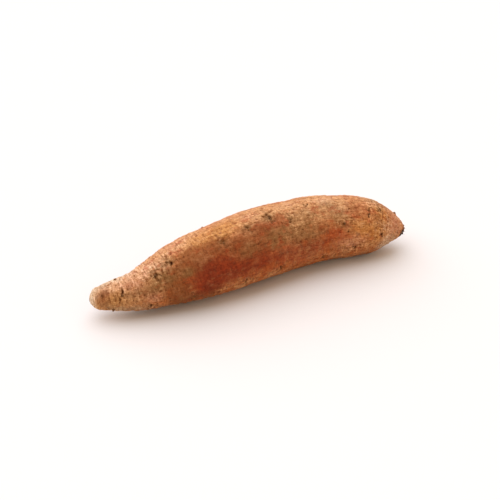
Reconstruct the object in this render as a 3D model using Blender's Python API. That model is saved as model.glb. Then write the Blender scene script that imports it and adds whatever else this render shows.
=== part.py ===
"""A whole sweet potato: one long, tapered storage root, bent a little like an arm.

It lies on a small flat spot of its belly. Blender 4.5, metres, +Z up.
X runs from the thin tail at -X to the stem end at +X, the bend bulges towards +Y,
and the origin is the middle of the footprint box, on the surface that it lies on.
Run it with: blender --background --python part.py
"""

import math

import bmesh
import bpy
import numpy as np
from mathutils import Vector

MM = 0.001

# Driving dimensions, in millimetres.
LENGTH = 230.0          # tail tip to stem tip
TAIL_CAP = 5.0          # length of the rounded tail tip
STEM_CAP = 40.0         # length of the shoulder that closes in on the stem
STEM_CAP_POWER = 1.57   # 2 closes in like an ellipse, less is more pointed
STEM_TRIM = 1.6         # how much of the point is missing where the stem broke off
SCAR_DEPTH = 1.3        # how far the middle of that scar has shrunk in

# The body's course, from the tail tip to the stem tip. Each row is: distance from the
# tail tip, radius, sideways bend, and height of the underside. Where the underside is
# below zero the belly has settled flat, and that flat is what the root lies on.
COURSE = (
    (0.0, 6.2, 0.0, 7.5),
    (12.0, 9.1, -2.8, 6.0),
    (30.0, 13.0, -4.5, 3.2),
    (52.0, 18.7, -3.1, 1.2),
    (74.0, 22.1, -1.2, 0.4),
    (96.0, 23.5, 2.5, -0.3),
    (120.0, 24.3, 7.2, -0.5),
    (146.0, 23.9, 11.0, -0.5),
    (170.0, 22.9, 11.8, 0.0),
    (192.0, 21.6, 9.2, 0.1),
    (212.0, 22.3, 5.8, -3.4),
    (230.0, 21.8, -0.4, -6.6),
)

# Low swellings and hollows of the flesh. Each row is: distance from the tail tip, angle
# round the body in degrees, reach along, reach around, and height, negative for a hollow.
SWELLINGS = (
    (18.0, 70.0, 9.0, 7.0, 0.5),
    (56.0, 90.0, 16.0, 12.0, -0.4),
    (47.0, 58.0, 5.0, 7.0, -1.3),
    (118.0, 64.0, 20.0, 12.0, 0.6),
    (166.0, 64.0, 15.0, 12.0, 0.6),
    (92.0, 150.0, 18.0, 12.0, -0.7),
    (112.0, 205.0, 24.0, 11.0, 0.6),
    (134.0, 118.0, 13.0, 10.0, -0.6),
    (160.0, 170.0, 20.0, 12.0, 0.6),
    (188.0, 100.0, 15.0, 10.0, 0.4),
    (205.0, 150.0, 12.0, 9.0, -0.5),
    (70.0, 330.0, 22.0, 14.0, 0.8),
    (128.0, 10.0, 24.0, 13.0, -0.8),
    (182.0, 330.0, 20.0, 12.0, 0.8),
    (34.0, 40.0, 12.0, 8.0, -0.6),
    (213.0, 238.0, 7.0, 10.0, 1.4),
    (228.0, 238.0, 6.0, 9.0, -3.0),
)

# Eyes are the dents where side roots grew. Each row is: distance from the tail tip,
# angle round the body in degrees, reach along, reach around, and depth.
EYES = (
    (20.0, 146.0, 2.0, 3.6, 1.0),
    (43.5, 127.0, 3.6, 4.0, 1.5),
    (54.5, 118.0, 3.2, 3.8, 1.4),
    (88.5, 118.0, 3.4, 4.0, 1.2),
    (109.0, 114.0, 3.0, 3.8, 1.2),
    (127.0, 106.0, 3.6, 5.2, 1.6),
    (140.0, 121.0, 2.6, 3.4, 1.0),
    (156.5, 97.0, 2.6, 3.6, 0.9),
    (182.0, 146.0, 2.8, 3.4, 0.7),
    (200.0, 124.0, 2.0, 5.0, 0.9),
    (209.5, 111.0, 2.6, 3.6, 0.8),
    (212.5, 170.0, 2.4, 2.8, 0.7),
)

# Side roots grow in rows along the body. These rows are on the sides away from the one
# above, and each is its angle in degrees.
EYE_ROWS = (200.0, 262.0, 334.0, 36.0)
EYE_ROW_ENDS = (20.0, 214.0)
EYE_ROW_STEPS = (24.0, 38.0)
EYE_ROW_WANDER = 9.0
EYE_ROW_REACH = (2.6, 4.0)
EYE_ROW_DEPTH = (0.6, 1.4)
EYE_LIP = 0.2           # the swollen lip round an eye, as a share of its depth
EYE_BROW = 0.5          # the brow on its stem side, as a share of its depth
EYE_BROW_AWAY = 1.9     # how far off the brow stands, in reaches along

FLUTES = 5              # shallow folds that run along the body
FLUTE_DEPTH = 0.28
FLUTE_TURN = 40.0       # degrees that they wind from tail to stem

# Stubs of side roots that broke off. Each row is: distance from the tail tip, angle
# round the body in degrees, length that shows, radius at the foot, and lean towards
# the tail in degrees.
STUBS = (
    (13.5, 214.0, 1.3, 0.80, 20.0),
    (17.8, 74.0, 1.2, 0.75, 35.0),
    (43.0, 126.0, 1.0, 0.70, 30.0),
    (88.0, 48.0, 2.2, 0.80, 40.0),
    (126.6, 108.0, 1.2, 0.75, 25.0),
    (146.0, 330.0, 2.4, 0.85, 35.0),
    (171.0, 20.0, 1.8, 0.75, 30.0),
    (222.5, 70.0, 0.9, 0.90, 10.0),
)
STUB_SUNK = 2.0         # how far a stub's foot is sunk into the body
STUB_SIDES = 6
STUB_TIP = 0.55         # radius at the broken tip, as a share of the foot

RINGS = 104             # cross-sections along the body
RINGS_TO_TIPS = 0.45    # how strongly they gather at the tips, from 0 to 1
SIDES = 48              # points round each cross-section

SKIN_COLOUR = (0.52, 0.21, 0.09, 1.0)
SKIN_ROUGHNESS = 0.55


def smooth_through(stations, values, wanted):
    """A smooth curve through the stations: cubic pieces whose slopes are the mean slopes there."""
    x = np.asarray(stations, float)
    y = np.asarray(values, float)
    rise = np.diff(y) / np.diff(x)
    slope = np.concatenate([rise[:1], (rise[1:] + rise[:-1]) / 2, rise[-1:]])
    k = np.clip(np.searchsorted(x, wanted, side="right") - 1, 0, len(x) - 2)
    step = x[k + 1] - x[k]
    t = (wanted - x[k]) / step
    return (
        y[k] * (1 + 2 * t) * (1 - t) ** 2
        + slope[k] * step * t * (1 - t) ** 2
        + y[k + 1] * t * t * (3 - 2 * t)
        + slope[k + 1] * step * t * t * (t - 1)
    )


def course_at(along):
    """Radius, and the axis as points, at distances from the tail tip."""
    course = np.array(COURSE)
    radius, bend, underside = (
        smooth_through(course[:, 0], course[:, column], along) for column in (1, 2, 3)
    )
    axis = np.stack([along - LENGTH / 2, bend, underside + radius], axis=-1)
    return radius, axis


def end_rounding(along):
    """The share of the radius that is left by the rounded tail tip and the stem's shoulder."""
    tail = np.clip(1 - along / TAIL_CAP, 0, 1)
    stem = np.clip(1 - (LENGTH + STEM_TRIM - along) / STEM_CAP, 0, 1)
    return np.sqrt(1 - tail ** 2) * (1 - stem ** STEM_CAP_POWER) ** (1 / STEM_CAP_POWER)


def section_frames(along):
    """Unit vectors of each cross-section: sideways (+Y side) and up, square to the axis."""
    half_step = 0.5
    ahead = course_at(np.minimum(along + half_step, LENGTH))[1]
    behind = course_at(np.maximum(along - half_step, 0.0))[1]
    tangent = ahead - behind
    tangent /= np.linalg.norm(tangent, axis=-1, keepdims=True)
    sideways = np.cross((0.0, 0.0, 1.0), tangent)
    sideways /= np.linalg.norm(sideways, axis=-1, keepdims=True)
    return sideways, np.cross(tangent, sideways)


def all_eyes():
    """The eyes of the row that shows, and those of the other rows, spaced with a seeded draw."""
    draw = np.random.default_rng(7)
    eyes = list(EYES)
    for row in EYE_ROWS:
        along = EYE_ROW_ENDS[0] + draw.uniform(0, EYE_ROW_STEPS[0])
        while along < EYE_ROW_ENDS[1]:
            angle = row + draw.uniform(-EYE_ROW_WANDER, EYE_ROW_WANDER)
            reach = draw.uniform(*EYE_ROW_REACH)
            eyes.append((along, angle, reach * 0.85, reach, draw.uniform(*EYE_ROW_DEPTH)))
            along += draw.uniform(*EYE_ROW_STEPS)
    return eyes


def hump(along, angle, centre, middle, reach_along, reach_around, radius):
    """A round hump of height 1: exp of minus the squared distance over the skin, in reaches."""
    turn = (angle - math.radians(middle) + math.pi) % (2 * math.pi) - math.pi
    return np.exp(
        -((along - centre) / reach_along) ** 2 - (turn * radius / reach_around) ** 2
    )


def relief(along, angle, radius):
    """How far the skin stands out from, or in from, the plain round body."""
    wind = math.radians(FLUTE_TURN) * along / LENGTH
    height = FLUTE_DEPTH * np.cos(FLUTES * (angle + wind)) * np.sin(math.pi * along / LENGTH)
    for centre, middle, reach_along, reach_around, rise in SWELLINGS:
        height = height + rise * hump(
            along, angle, centre, middle, reach_along, reach_around, radius
        )
    for centre, middle, reach_along, reach_around, depth in all_eyes():
        dent = hump(along, angle, centre, middle, reach_along, reach_around, radius)
        lip = hump(along, angle, centre, middle, 2 * reach_along, 2 * reach_around, radius)
        brow = hump(
            along,
            angle,
            centre + EYE_BROW_AWAY * reach_along,
            middle,
            1.1 * reach_along,
            1.5 * reach_around,
            radius,
        )
        height = height + depth * (EYE_LIP * lip + EYE_BROW * brow - dent)
    return height


def body_surface(along, angle):
    """Points of the skin in millimetres, for distances from the tail tip and angles round the
    body, where 0 is the +Y side, 90 degrees is the top and 180 degrees is the -Y side."""
    radius, axis = course_at(along)
    sideways, up = section_frames(along)
    rounding = end_rounding(along)
    reach = rounding * (radius + relief(along, angle, radius))
    points = (
        axis
        + (reach * np.cos(angle))[..., None] * sideways
        + (reach * np.sin(angle))[..., None] * up
    )
    points[..., 2] = np.maximum(points[..., 2], 0.0)
    return points


def ring_distances():
    """Distances of the cross-sections from the tail tip, closer together towards both tips."""
    even = np.linspace(0, 1, RINGS + 1)[1:]
    gathered = 0.5 - 0.5 * np.cos(math.pi * even)
    return LENGTH * (even + (gathered - even) * RINGS_TO_TIPS)


def body_rings():
    """The body's rings of points, with the scar of the stem as two smaller rings set in."""
    angle = np.linspace(0, 2 * math.pi, SIDES, endpoint=False)[None, :]
    rings = body_surface(ring_distances()[:, None], angle)
    rim = rings[-1]
    middle = rim.mean(axis=0)
    inwards = course_at(np.array([LENGTH - 1.0]))[1][0] - course_at(np.array([LENGTH]))[1][0]
    inwards /= np.linalg.norm(inwards)
    scar = [
        middle + (rim - middle) * share + inwards * SCAR_DEPTH * sunk
        for share, sunk in ((0.72, 0.35), (0.4, 0.9))
    ]
    tail_tip = course_at(np.array([0.0]))[1][0]
    return [*rings, *scar], tail_tip, middle + inwards * SCAR_DEPTH


def skin_material():
    material = bpy.data.materials.new("sweet_potato_skin")
    material.use_nodes = True
    shader = material.node_tree.nodes["Principled BSDF"]
    shader.inputs["Base Color"].default_value = SKIN_COLOUR
    shader.inputs["Roughness"].default_value = SKIN_ROUGHNESS
    shader.inputs["Metallic"].default_value = 0.0
    return material


def add_object(name, mesh):
    """A bmesh as an object of the scene, shaded smooth."""
    bmesh.ops.recalc_face_normals(mesh, faces=mesh.faces)
    data = bpy.data.meshes.new(name)
    mesh.to_mesh(data)
    mesh.free()
    data.shade_smooth()
    made = bpy.data.objects.new(name, data)
    bpy.context.scene.collection.objects.link(made)
    return made


def make_body():
    """The body as one closed skin: rings of points joined by faces, with a tip at each end."""
    rings, tail_tip, scar_middle = body_rings()
    mesh = bmesh.new()
    loops = [[mesh.verts.new(point * MM) for point in ring] for ring in rings]
    for near, far in zip(loops, loops[1:]):
        for i in range(SIDES):
            j = (i + 1) % SIDES
            mesh.faces.new((near[i], near[j], far[j], far[i]))
    for loop, tip in ((loops[0], tail_tip), (loops[-1], scar_middle)):
        centre = mesh.verts.new(tip * MM)
        for i in range(SIDES):
            mesh.faces.new((loop[i], loop[(i + 1) % SIDES], centre))
    return add_object("sweet_potato", mesh)


def make_stub(number, along, degrees, length, radius, lean):
    """One broken side root: a tapered peg, its foot sunk in the body, leaning to the tail."""
    angle = math.radians(degrees)
    where = np.array([along])
    sideways, up = (vectors[0] for vectors in section_frames(where))
    outwards = Vector(sideways * math.cos(angle) + up * math.sin(angle))
    to_tail = Vector(np.cross(up, sideways)) * -1.0
    direction = outwards * math.cos(math.radians(lean)) + to_tail * math.sin(math.radians(lean))
    foot = Vector(body_surface(where, np.array([angle]))[0]) - direction * STUB_SUNK
    height = STUB_SUNK + length
    mesh = bmesh.new()
    bmesh.ops.create_cone(
        mesh,
        cap_ends=True,
        segments=STUB_SIDES,
        radius1=radius * MM,
        radius2=radius * STUB_TIP * MM,
        depth=height * MM,
    )
    turn = Vector((0.0, 0.0, 1.0)).rotation_difference(direction).to_matrix().to_4x4()
    bmesh.ops.transform(mesh, matrix=turn, verts=mesh.verts)
    bmesh.ops.translate(mesh, vec=(foot + direction * height / 2) * MM, verts=mesh.verts)
    return add_object(f"stub_{number}", mesh)


def fuse(body, pieces):
    """One Boolean union of the body with all the pieces, applied, and the pieces removed."""
    group = bpy.data.collections.new("stubs")
    bpy.context.scene.collection.children.link(group)
    for piece in pieces:
        group.objects.link(piece)
        bpy.context.scene.collection.objects.unlink(piece)
    union = body.modifiers.new("union", "BOOLEAN")
    union.operation = "UNION"
    union.operand_type = "COLLECTION"
    union.collection = group
    graph = bpy.context.evaluated_depsgraph_get()
    fused = bpy.data.meshes.new_from_object(body.evaluated_get(graph))
    body.modifiers.clear()
    body.data = fused
    for piece in pieces:
        bpy.data.objects.remove(piece)
    bpy.data.collections.remove(group)


def centre_footprint(body):
    """Moves the body sideways so that the middle of its footprint box is at the origin."""
    corners = np.array([vertex.co for vertex in body.data.vertices])
    middle = (corners.min(axis=0) + corners.max(axis=0)) / 2
    for vertex in body.data.vertices:
        vertex.co.x -= middle[0]
        vertex.co.y -= middle[1]


def main():
    for old in list(bpy.data.objects):
        bpy.data.objects.remove(old)
    body = make_body()
    stubs = [make_stub(number, *row) for number, row in enumerate(STUBS, 1)]
    fuse(body, stubs)
    centre_footprint(body)
    body.data.materials.clear()
    body.data.materials.append(skin_material())


main()
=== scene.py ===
# The looks of a sweet potato: its finely wrinkled skin with eyes, lenticels and rootlet
# scars, the stubs of its side roots, and the corky scar where it broke off the vine.
import math
import bpy
import numpy as np
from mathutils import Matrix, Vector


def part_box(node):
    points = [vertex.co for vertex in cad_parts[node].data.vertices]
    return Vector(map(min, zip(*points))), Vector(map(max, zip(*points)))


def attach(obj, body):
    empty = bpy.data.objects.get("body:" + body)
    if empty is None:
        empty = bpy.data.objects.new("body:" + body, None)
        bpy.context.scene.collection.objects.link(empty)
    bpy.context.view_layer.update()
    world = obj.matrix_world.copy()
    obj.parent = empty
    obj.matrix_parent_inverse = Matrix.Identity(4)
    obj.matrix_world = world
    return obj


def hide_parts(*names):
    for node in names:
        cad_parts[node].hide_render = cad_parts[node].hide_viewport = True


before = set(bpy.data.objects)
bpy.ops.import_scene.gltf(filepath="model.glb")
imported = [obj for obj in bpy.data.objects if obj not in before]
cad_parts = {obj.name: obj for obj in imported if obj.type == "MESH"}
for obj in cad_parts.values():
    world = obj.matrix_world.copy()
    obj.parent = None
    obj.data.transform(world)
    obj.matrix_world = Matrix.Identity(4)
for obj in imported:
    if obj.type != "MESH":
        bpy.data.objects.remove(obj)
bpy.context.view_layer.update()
bodyName = "root"
nodeName = "sweet_potato"
mm = 0.001
fullTurn = 2 * math.pi

# Camera. It looks down on the root from the side of its tail, as the photograph does.
view = {
    "azimuth": -22.22,
    "elevation": 32.0,
    "distance": 0.8569,
    "target": (0.0011, 0.0023, 0.0200),
    "lens": 90.0,
    "sensor": 36.0,
}


def setUpCamera():
    turn, lift = math.radians(view["azimuth"]), math.radians(view["elevation"])
    back = np.array([math.sin(turn) * math.cos(lift), -math.cos(turn) * math.cos(lift), math.sin(lift)])
    data = bpy.data.cameras.new("camera")
    data.lens = view["lens"]
    data.sensor_width = view["sensor"]
    data.clip_start = 0.01
    camera = bpy.data.objects.new("camera", data)
    bpy.context.scene.collection.objects.link(camera)
    camera.location = np.array(view["target"]) + back * view["distance"]
    camera.rotation_euler = (math.pi / 2 - lift, 0.0, turn)
    bpy.context.scene.camera = camera


setUpCamera()
print("camera set")

# The form of the body, with the solid's own values, in millimetres and degrees.
# course rows: distance from the tail tip, radius, sideways bend, height of the underside
# swelling rows: distance from the tail tip, angle round, reach along, reach around, height
form = {
    "length": 230.0,
    "tailCap": 5.0,
    "stemCap": 40.0,
    "stemCapPower": 1.57,
    "stemTrim": 1.6,
    "scarDepth": 1.3,
    "course": (
        (0, 6.2, 0, 7.5), (12, 9.1, -2.8, 6), (30, 13, -4.5, 3.2), (52, 18.7, -3.1, 1.2),
        (74, 22.1, -1.2, 0.4), (96, 23.5, 2.5, -0.3), (120, 24.3, 7.2, -0.5), (146, 23.9, 11, -0.5),
        (170, 22.9, 11.8, 0), (192, 21.6, 9.2, 0.1), (212, 22.3, 5.8, -3.4),
        (230, 21.8, -0.4, -6.6),
    ),
    "swellings": (
        (18, 70, 9, 7, 0.5), (56, 90, 16, 12, -0.4), (47, 58, 5, 7, -1.3), (118, 64, 20, 12, 0.6),
        (166, 64, 15, 12, 0.6), (92, 150, 18, 12, -0.7), (112, 205, 24, 11, 0.6),
        (134, 118, 13, 10, -0.6), (160, 170, 20, 12, 0.6), (188, 100, 15, 10, 0.4),
        (205, 150, 12, 9, -0.5), (70, 330, 22, 14, 0.8), (128, 10, 24, 13, -0.8),
        (182, 330, 20, 12, 0.8), (34, 40, 12, 8, -0.6), (213, 238, 7, 10, 1.4),
        (228, 238, 6, 9, -3),
    ),
    "flutes": 5,
    "fluteDepth": 0.28,
    "fluteTurn": 40.0,
    "bellySoftness": 0.3,
}

# The eyes, where side roots grew, as on the solid.
# seen rows: distance from the tail tip, angle round, reach along, reach around, depth
eyes = {
    "seen": (
        (20, 146, 2, 3.6, 1), (43.5, 127, 3.6, 4, 1.5), (54.5, 118, 3.2, 3.8, 1.4),
        (88.5, 118, 3.4, 4, 1.2), (109, 114, 3, 3.8, 1.2), (127, 106, 3.6, 5.2, 1.6),
        (140, 121, 2.6, 3.4, 1), (156.5, 97, 2.6, 3.6, 0.9), (182, 146, 2.8, 3.4, 0.7),
        (200, 124, 2, 5, 0.9), (209.5, 111, 2.6, 3.6, 0.8), (212.5, 170, 2.4, 2.8, 0.7),
    ),
    "rows": (200.0, 262.0, 334.0, 36.0),
    "rowEnds": (20.0, 214.0),
    "rowSteps": (24.0, 38.0),
    "rowWander": 9.0,
    "rowReach": (2.6, 4.0),
    "rowDepth": (0.6, 1.4),
    "rowSeed": 7,
    "lip": 0.2,
    "brow": 0.5,
    "browAway": 1.9,
}


def smoothThrough(stations, values, wanted):
    # cubic pieces through the stations, each with the mean of its neighbours' slopes
    x, y = np.asarray(stations, float), np.asarray(values, float)
    rise = np.diff(y) / np.diff(x)
    slope = np.concatenate([rise[:1], (rise[1:] + rise[:-1]) / 2, rise[-1:]])
    k = np.clip(np.searchsorted(x, wanted, side="right") - 1, 0, len(x) - 2)
    step = x[k + 1] - x[k]
    t = (wanted - x[k]) / step
    return (
        y[k] * (1 + 2 * t) * (1 - t) ** 2
        + slope[k] * step * t * (1 - t) ** 2
        + y[k + 1] * t * t * (3 - 2 * t)
        + slope[k + 1] * step * t * t * (t - 1)
    )


def courseAt(along):
    # radius and axis points: the axis runs along X, bends sideways, and lies a radius above
    # the underside
    course = np.array(form["course"])
    radius, bend, underside = (
        smoothThrough(course[:, 0], course[:, column], along) for column in (1, 2, 3)
    )
    return radius, np.stack([along - form["length"] / 2, bend, underside + radius], axis=-1)


def endRounding(along):
    # an ellipse over the tail cap, times a blunter superellipse over the stem's shoulder
    tail = np.clip(1 - along / form["tailCap"], 0, 1)
    stem = np.clip(1 - (form["length"] + form["stemTrim"] - along) / form["stemCap"], 0, 1)
    power = form["stemCapPower"]
    return np.sqrt(1 - tail ** 2) * (1 - stem ** power) ** (1 / power)


def sectionFrames(along):
    # sideways is level and square to the axis, up is square to both
    halfStep = 0.5
    tangent = (
        courseAt(np.minimum(along + halfStep, form["length"]))[1]
        - courseAt(np.maximum(along - halfStep, 0.0))[1]
    )
    tangent /= np.linalg.norm(tangent, axis=-1, keepdims=True)
    sideways = np.cross((0.0, 0.0, 1.0), tangent)
    sideways /= np.linalg.norm(sideways, axis=-1, keepdims=True)
    return sideways, np.cross(tangent, sideways), tangent


def allEyes():
    draw = np.random.default_rng(eyes["rowSeed"])
    found = list(eyes["seen"])
    for row in eyes["rows"]:
        along = eyes["rowEnds"][0] + draw.uniform(0, eyes["rowSteps"][0])
        while along < eyes["rowEnds"][1]:
            angle = row + draw.uniform(-eyes["rowWander"], eyes["rowWander"])
            reach = draw.uniform(*eyes["rowReach"])
            found.append((along, angle, reach * 0.85, reach, draw.uniform(*eyes["rowDepth"])))
            along += draw.uniform(*eyes["rowSteps"])
    return found


def evenAngles(count):
    return np.linspace(0, fullTurn, count, endpoint=False)


def stacked(*parts):
    # the parts as the last axis of one array
    return np.stack(np.broadcast_arrays(*parts), axis=-1)


def radiusAt(along):
    return float(courseAt(np.array([along]))[0][0])


def turnFrom(angle, degrees):
    # the short way round from a place in degrees to each angle, in radians
    return (angle - math.radians(degrees) + math.pi) % fullTurn - math.pi


def hump(along, angle, radius, centre, middle, reachAlong, reachAround):
    # exp of minus the squared distance over the skin, counted in reaches
    around = turnFrom(angle, middle) * radius
    return np.exp(-((along - centre) / reachAlong) ** 2 - (around / reachAround) ** 2)


def formRelief(along, angle, radius):
    # flutes that wind along the body, plus swellings, minus the eyes with their lips and brows
    wind = math.radians(form["fluteTurn"]) * along / form["length"]
    height = form["fluteDepth"] * np.cos(form["flutes"] * (angle + wind))
    height = height * np.sin(math.pi * along / form["length"])
    for centre, middle, reachAlong, reachAround, rise in form["swellings"]:
        height = height + rise * hump(along, angle, radius, centre, middle, reachAlong, reachAround)
    for centre, middle, reachAlong, reachAround, depth in allEyes():
        dent = hump(along, angle, radius, centre, middle, reachAlong, reachAround)
        lip = hump(along, angle, radius, centre, middle, 2 * reachAlong, 2 * reachAround)
        browCentre = centre + eyes["browAway"] * reachAlong
        brow = hump(along, angle, radius, browCentre, middle, 1.1 * reachAlong, 1.5 * reachAround)
        height = height + depth * (eyes["lip"] * lip + eyes["brow"] * brow - dent)
    return height


def formSurface(along, angle):
    # the axis point plus the radius and relief, carried round the section
    radius, axis = courseAt(along)
    sideways, up, _ = sectionFrames(along)
    reach = endRounding(along) * (radius + formRelief(along, angle, radius))
    return (
        axis
        + (reach * np.cos(angle))[..., None] * sideways
        + (reach * np.sin(angle))[..., None] * up
    )


def settleOnTable(points):
    # the belly presses flat: half of z plus the root of z squared and a small softness squared
    soft = form["bellySoftness"]
    settled = points.copy()
    settled[..., 2] = (points[..., 2] + np.sqrt(points[..., 2] ** 2 + soft ** 2)) / 2
    return settled


# Smooth noise for the relief: every lattice corner has its own slope, drawn once.
noiseSlopes = np.random.default_rng(11).normal(size=(4093, 3))
noiseSlopes /= np.linalg.norm(noiseSlopes, axis=1, keepdims=True)


def smoothNoise(points, seed=0):
    # the eight corners' slopes times the way to them, blended by 6t^5 - 15t^4 + 10t^3
    cell = np.floor(points).astype(np.int64)
    part = points - cell
    fade = part ** 3 * (part * (part * 6 - 15) + 10)
    total = np.zeros(points.shape[:-1])
    for corner in np.ndindex(2, 2, 2):
        at = cell + np.array(corner)
        key = seed * 2654435
        for axis, prime in enumerate((73856093, 19349663, 83492791)):
            key = key ^ (at[..., axis] * prime)
        slope = noiseSlopes[key % len(noiseSlopes)]
        weight = np.prod(np.where(np.array(corner, bool), fade, 1 - fade), axis=-1)
        total += weight * np.sum(slope * (part - np.array(corner)), axis=-1)
    return total * 1.6


def layeredNoise(points, layers, seed=0):
    # each layer is half as large and half as strong as the one before
    return sum(smoothNoise(points * 2 ** k, seed + k) / 2 ** k for k in range(layers))


# Fine relief of the skin: sizes and heights in millimetres.
relief = {
    "lumpSize": 14.0,
    "lumpHeight": 0.40,
    "knobSize": 4.2,
    "knobHeight": 0.26,
    "furrowLength": 24.0,
    "furrowSpacing": 2.6,
    "furrowDepth": 0.30,
    "wrinkleLength": 8.0,
    "wrinkleSpacing": 2.1,
    "wrinkleDepth": 0.42,
    "wrinkleFades": (60.0, 115.0),
    "wrinkleLeft": 0.3,
    "creaseSize": 3.4,
    "creaseDepth": 0.30,
    "creasePatch": 22.0,
    "nearEye": 2.3,
    "eyePucker": 1.3,
    "eyeWrinkles": 0.7,
    "grainSize": 1.5,
    "grainHeight": 0.12,
    "cavityReach": 3,
}


def straightened(along, angle, reach):
    # the body as if its axis were a straight line: distance along it, and the place round it
    return stacked(along, reach * np.cos(angle), reach * np.sin(angle))


def skinRelief(straight, near):
    # lumps, knobs and a fine grain, plus ridges between lengthwise furrows, crosswise wrinkles
    # and a net of creases: each ridge is the size of a noise, so it creases where that is zero.
    # Near the eyes the skin is puckered: knobs, wrinkles and creases are higher
    along = straight[..., 0]
    lumps = layeredNoise(straight / relief["lumpSize"], 2, 1) * relief["lumpHeight"]
    knobs = layeredNoise(straight / relief["knobSize"], 2, 9) * relief["knobHeight"]
    lengthwise = np.array([relief["furrowLength"], relief["furrowSpacing"], relief["furrowSpacing"]])
    furrows = np.abs(layeredNoise(straight / lengthwise, 2, 21)) * relief["furrowDepth"]
    crosswise = np.array([relief["wrinkleSpacing"], relief["wrinkleLength"], relief["wrinkleLength"]])
    wrinkles = np.abs(layeredNoise(straight / crosswise, 2, 33)) * relief["wrinkleDepth"]
    fadeStart, fadeEnd = relief["wrinkleFades"]
    share = np.clip((fadeEnd - along) / (fadeEnd - fadeStart), 0, 1)
    share = share * (1 - relief["wrinkleLeft"]) + relief["wrinkleLeft"]
    patch = np.clip(0.5 + smoothNoise(straight / relief["creasePatch"], 61), 0, 1)
    creases = np.abs(layeredNoise(straight / relief["creaseSize"], 2, 71)) * relief["creaseDepth"]
    grain = smoothNoise(straight / relief["grainSize"], 47) * relief["grainHeight"]
    pucker = relief["eyePucker"] * near
    knobs = knobs * (1 + pucker)
    wrinkles = wrinkles * (share + relief["eyeWrinkles"] * pucker)
    creases = creases * (patch + pucker)
    return lumps + knobs + furrows + wrinkles + creases + grain


def cavity(height):
    # how far each point lies above the mean height of the square of points round it
    reach = relief["cavityReach"]
    total = np.zeros_like(height)
    rows = np.pad(height, ((reach, reach), (0, 0)), "edge")
    for down in range(2 * reach + 1):
        band = rows[down:down + len(height)]
        for across in range(-reach, reach + 1):
            total += np.roll(band, across, axis=1)
    return height - total / (2 * reach + 1) ** 2


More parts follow.
